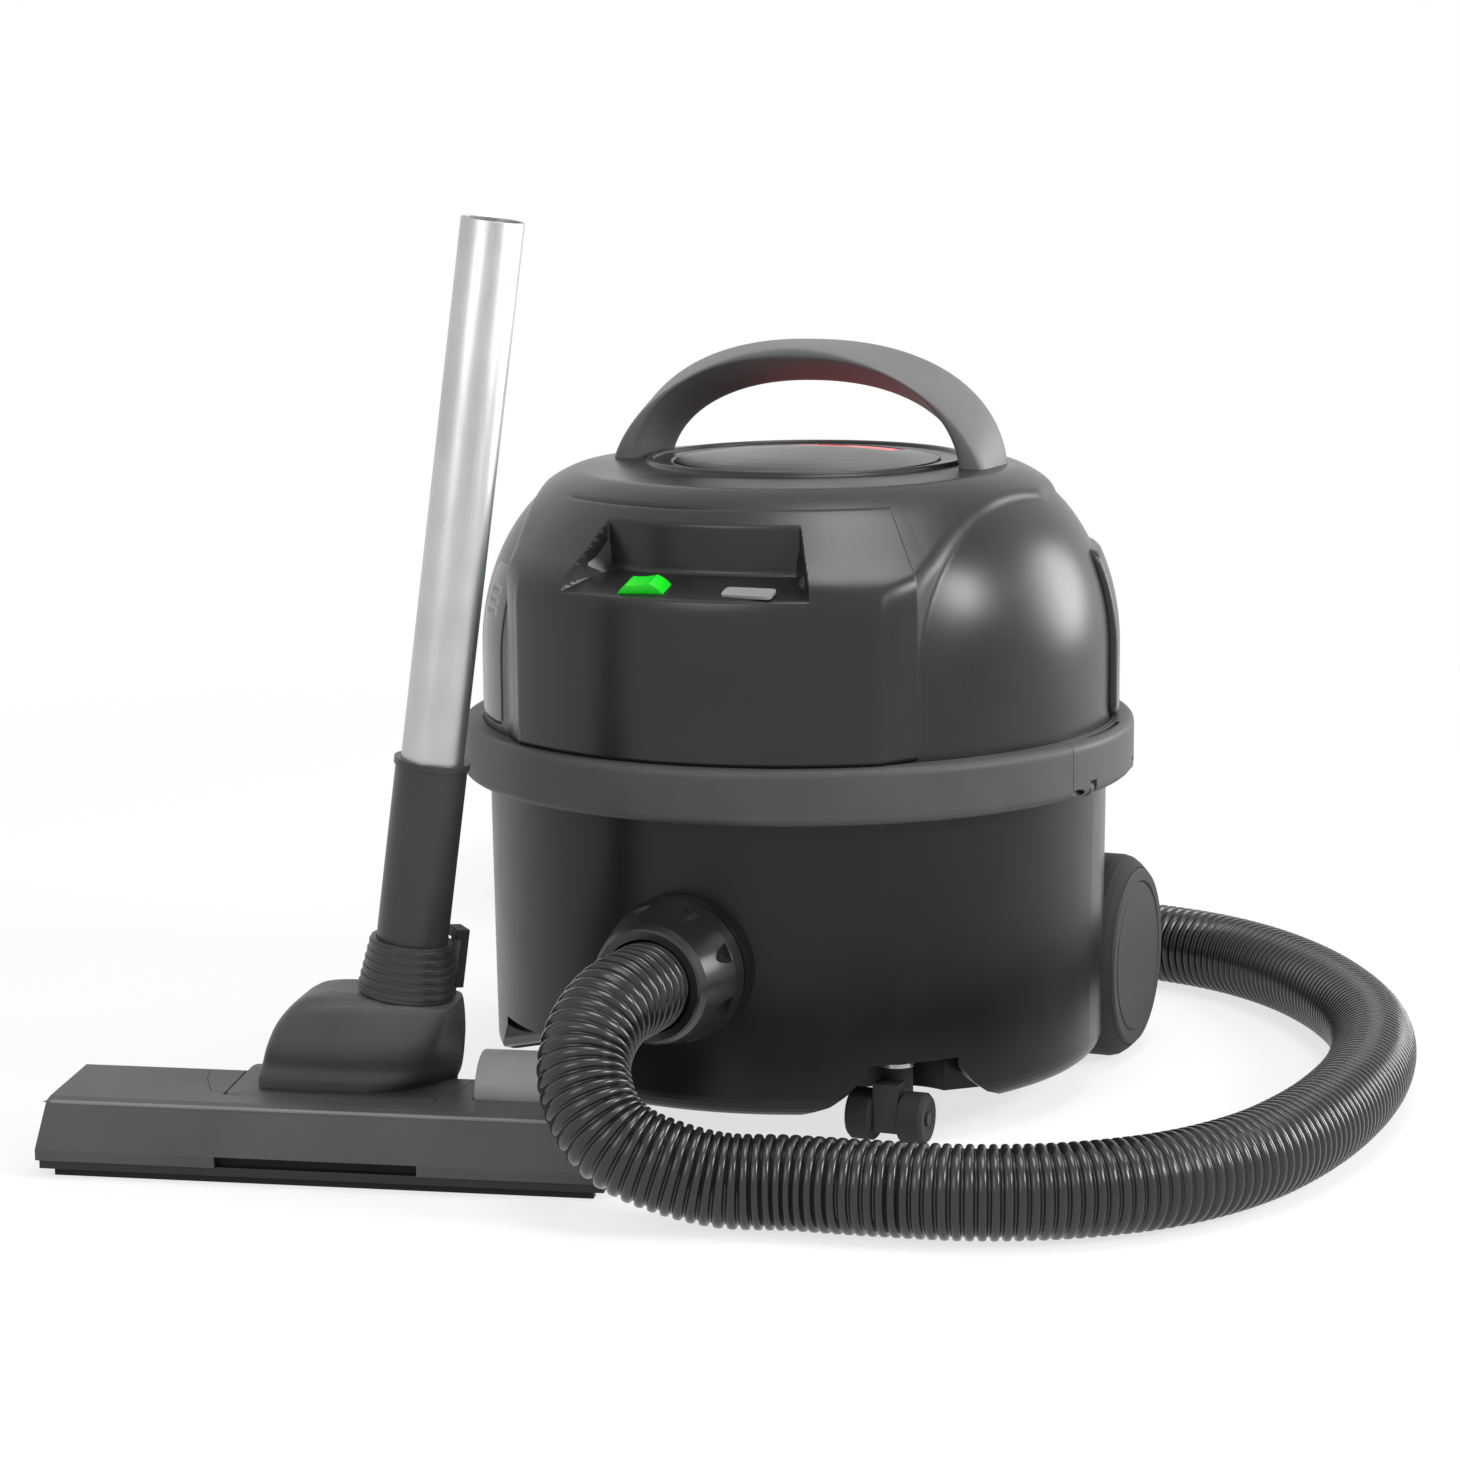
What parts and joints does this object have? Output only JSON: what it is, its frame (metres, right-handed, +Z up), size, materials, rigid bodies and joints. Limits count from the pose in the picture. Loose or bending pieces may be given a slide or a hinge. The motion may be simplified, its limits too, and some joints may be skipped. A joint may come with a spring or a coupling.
{
  "type": "canister vacuum cleaner",
  "caption": "Wheeled tub vacuum cleaner with lift-off motor head, carry handle, cable winder, ribbed hose and a floor tool on a short metal wand.",
  "frame": {"origin": "bottom centre of the box round the tub and the floor tool, on the floor, without the hose", "axes": "+Z up, -Y towards the hose inlet and the floor tool, +X towards the right-hand wheel"},
  "size_m": [0.6308, 0.9644, 0.4266],
  "materials": {
    "black_gloss": "polished moulded black",
    "black_dome": "satin black",
    "grey_ring": "fine satin grey",
    "handle_grey": "satin mid grey",
    "hose_grey": "glossy ribbed vinyl",
    "collar_black": "polished black",
    "tyre_black": "matt tyre",
    "hub_black": "satin black",
    "steel": "bright steel",
    "wand_metal": "brushed and plated",
    "bag_paper": "paper cloth",
    "card": "pressed card",
    "filter_cloth": "white cloth",
    "filter_frame": "matt blue",
    "deck_grey": "matt dark grey",
    "seal_rubber": "soft rubber",
    "motor_alu": "cast aluminium",
    "green_switch": "bright green",
    "red_crank": "bright red",
    "light_grey": "satin light grey",
    "mark_white": "printed light grey",
    "brush_black": "bristle in a strip"
  },
  "bodies": {
    "base": {"tub": "black_gloss", "bumper_ring": "grey_ring", "inlet_port": "collar_black", "rear_axle": "steel", "axle_clips": "steel", "latch_pins": "steel", "dust_bag": "bag_paper", "bag_collar": "card", "hose": "hose_grey", "hose_end_cuff": "collar_black"},
    "hose_collar": {"hose_collar": "collar_black"},
    "latch_left": {"latch_left": "grey_ring"},
    "latch_right": {"latch_right": "grey_ring"},
    "head": {"head_dome": "black_dome", "control_hood": "black_dome", "rear_cover": "black_dome", "handle": "handle_grey", "motor_deck": "deck_grey", "deck_seal": "seal_rubber", "motor_can": "motor_alu", "fan_housing": "motor_alu", "motor_mount": "seal_rubber", "filter_ring": "filter_frame", "cloth_filter": "filter_cloth", "switch_body": "hub_black", "status_lamp": "mark_white", "drum_post": "deck_grey", "cable_outlet": "hub_black", "head_screws": "steel"},
    "rotor": {"motor_shaft": "steel", "fan_wheel": "motor_alu"},
    "switch_rocker": {"switch_rocker": "green_switch"},
    "winder": {"winder_disc": "hub_black", "cable_drum": "deck_grey"},
    "winder_crank": {"winder_crank": "red_crank"},
    "wheel_left": {"wheel_left": "hub_black", "tyre_left": "tyre_black", "cap_left": "hub_black"},
    "wheel_right": {"wheel_right": "hub_black", "tyre_right": "tyre_black", "cap_right": "hub_black"},
    "castor_left": {"castor_fork_left": "hub_black", "castor_stem_left": "steel"},
    "castor_right": {"castor_fork_right": "hub_black", "castor_stem_right": "steel"},
    "castor_wheels_left": {"castor_wheels_left": "tyre_black"},
    "castor_wheels_right": {"castor_wheels_right": "tyre_black"},
    "tool": {"tool_cover": "grey_ring", "tool_insert": "grey_ring", "tool_sole": "hub_black"},
    "tool_brush": {"tool_brush": "brush_black"},
    "tool_rollers": {"tool_rollers": "tyre_black"},
    "tool_pedal": {"tool_pedal": "light_grey"},
    "neck": {"neck_hood": "grey_ring", "neck_cuff": "grey_ring", "wand_clip": "hub_black"},
    "sleeve": {"neck_sleeve": "hub_black"},
    "wand": {"wand_tube": "wand_metal"}
  },
  "joints": [
    {"name": "head_lift", "type": "slide", "parent": "base", "child": "head", "axis": [0, 0, 1], "range_m": [0, 0.25]},
    {"name": "motor_spin", "type": "hinge", "parent": "head", "child": "rotor", "pos_m": [0.05279, 0.06437, 0.2], "axis": [0, 0, 1], "continuous": true},
    {"name": "switch_rock", "type": "hinge", "parent": "head", "child": "switch_rocker", "pos_m": [0.03379, -0.07865, 0.25422], "axis": [0, 0.9621, 0.2726], "range_deg": [0, 12]},
    {"name": "winder_spin", "type": "hinge", "parent": "head", "child": "winder", "pos_m": [0.05279, 0.07937, 0.28], "axis": [0, 0, 1], "continuous": true},
    {"name": "crank_fold", "type": "hinge", "parent": "winder", "child": "winder_crank", "pos_m": [0.05279, 0.10087, 0.3015], "axis": [1, 0, 0], "range_deg": [0, 75]},
    {"name": "collar_turn", "type": "hinge", "parent": "base", "child": "hose_collar", "pos_m": [0.05279, -0.09293, 0.086], "axis": [0, 1, 0], "range_deg": [0, 40]},
    {"name": "latch_left_swing", "type": "hinge", "parent": "base", "child": "latch_left", "pos_m": [-0.10271, 0.06437, 0.157], "axis": [0, -1, 0], "range_deg": [0, 35]},
    {"name": "latch_right_swing", "type": "hinge", "parent": "base", "child": "latch_right", "pos_m": [0.20829, 0.06437, 0.157], "axis": [0, 1, 0], "range_deg": [0, 35]},
    {"name": "wheel_left_spin", "type": "hinge", "parent": "base", "child": "wheel_left", "pos_m": [-0.09521, 0.14897, 0.0503], "axis": [1, 0, 0], "continuous": true},
    {"name": "wheel_right_spin", "type": "hinge", "parent": "base", "child": "wheel_right", "pos_m": [0.20079, 0.14897, 0.0503], "axis": [1, 0, 0], "continuous": true},
    {"name": "castor_left_swivel", "type": "hinge", "parent": "base", "child": "castor_left", "pos_m": [-0.03123, -0.0306, 0.04], "axis": [0, 0, 1], "continuous": true},
    {"name": "castor_left_roll", "type": "hinge", "parent": "castor_left", "child": "castor_wheels_left", "pos_m": [-0.03123, -0.0396, 0.012], "axis": [1, 0, 0], "continuous": true},
    {"name": "castor_right_swivel", "type": "hinge", "parent": "base", "child": "castor_right", "pos_m": [0.13681, -0.0306, 0.04], "axis": [0, 0, 1], "continuous": true},
    {"name": "castor_right_roll", "type": "hinge", "parent": "castor_right", "child": "castor_wheels_right", "pos_m": [0.13681, -0.0396, 0.012], "axis": [1, 0, 0], "continuous": true},
    {"name": "tool_slide", "type": "slide", "parent": "base", "child": "tool", "axis": [-0.9803, -0.1977, 0], "range_m": [0, 0.3]},
    {"name": "pedal_rock", "type": "hinge", "parent": "tool", "child": "tool_pedal", "pos_m": [-0.00326, -0.13752, 0.031], "axis": [-0.9803, -0.1977, 0], "range_deg": [0, 12.5]},
    {"name": "brush_raise", "type": "slide", "parent": "tool", "child": "tool_brush", "axis": [0, 0, 1], "range_m": [0, 0.005]},
    {"name": "rollers_spin", "type": "hinge", "parent": "tool", "child": "tool_rollers", "pos_m": [-0.08679, -0.14314, 0.006], "axis": [0.9803, 0.1977, 0], "continuous": true},
    {"name": "neck_tilt", "type": "hinge", "parent": "tool", "child": "neck", "pos_m": [-0.08422, -0.15588, 0.03], "axis": [-0.9803, -0.1977, 0], "range_deg": [-30, 14]},
    {"name": "sleeve_turn", "type": "hinge", "parent": "neck", "child": "sleeve", "pos_m": [-0.0512, -0.14922, 0.10477], "axis": [0.133, 0.0268, 0.9907], "range_deg": [-90, 90]},
    {"name": "wand_pull", "type": "slide", "parent": "sleeve", "child": "wand", "axis": [0.133, 0.0268, 0.9907], "range_m": [0, 0.09]}
  ],
  "couplings": [
    {"joint": "pedal_rock", "follows": "brush_raise", "rad_per_m": 41.888}
  ]
}
